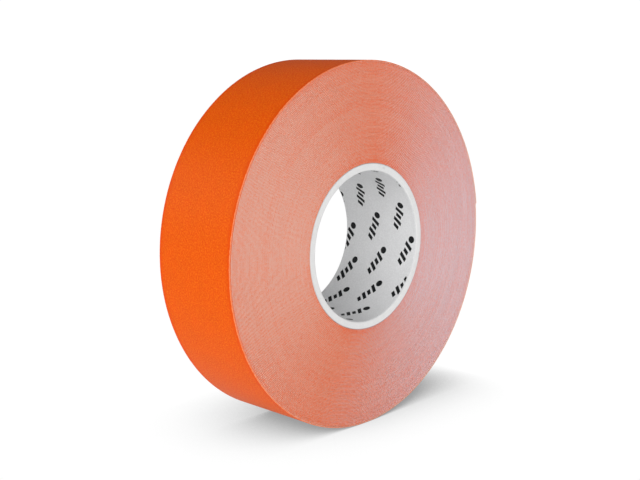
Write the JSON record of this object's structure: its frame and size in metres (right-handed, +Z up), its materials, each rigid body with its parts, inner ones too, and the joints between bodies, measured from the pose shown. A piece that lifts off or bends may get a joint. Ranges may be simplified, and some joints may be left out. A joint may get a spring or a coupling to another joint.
{
  "type": "grip tape roll",
  "caption": "Wide roll of coated grip tape wound with a release film on a paper core, with a free end that lifts to start it.",
  "frame": {"origin": "on the floor, under the middle of the roll as it stands on its tread", "axes": "+Z up; +Y along the roll's axis, away from the front face; the free end is on the +X side"},
  "size_m": [0.1843, 0.05, 0.1845],
  "materials": {
    "coated_tape": "matte coated face with a fine mottled grain",
    "wound_edges": "slit edges of coating, pale backing and film, side by side",
    "release_film": "thin frosted film",
    "adhesive": "double-sided adhesive strip",
    "printed_liner": "white paper printed with a repeated dark mark, satin",
    "core_board": "pale core board with cut ply edges",
    "outer_wrap": "white paper, matte"
  },
  "bodies": {
    "root": {"core_liner": "printed_liner", "core_ply_1": "core_board", "core_ply_2": "core_board", "core_ply_3": "core_board", "core_ply_4": "core_board", "core_ply_5": "core_board", "core_ply_6": "core_board", "core_wrap": "outer_wrap", "start_strip": "adhesive", "wound_tape": "wound_edges", "outer_film_turn": "release_film", "outer_tape_turn": "coated_tape"},
    "free_end": {"tape_free_end": "coated_tape", "film_free_end": "release_film"}
  },
  "joints": [
    {"name": "free_end_lift", "type": "hinge", "parent": "root", "child": "free_end", "pos_m": [0.08464, 0, 0.12968], "axis": [0, -1, 0], "range_deg": [0, 135]}
  ]
}
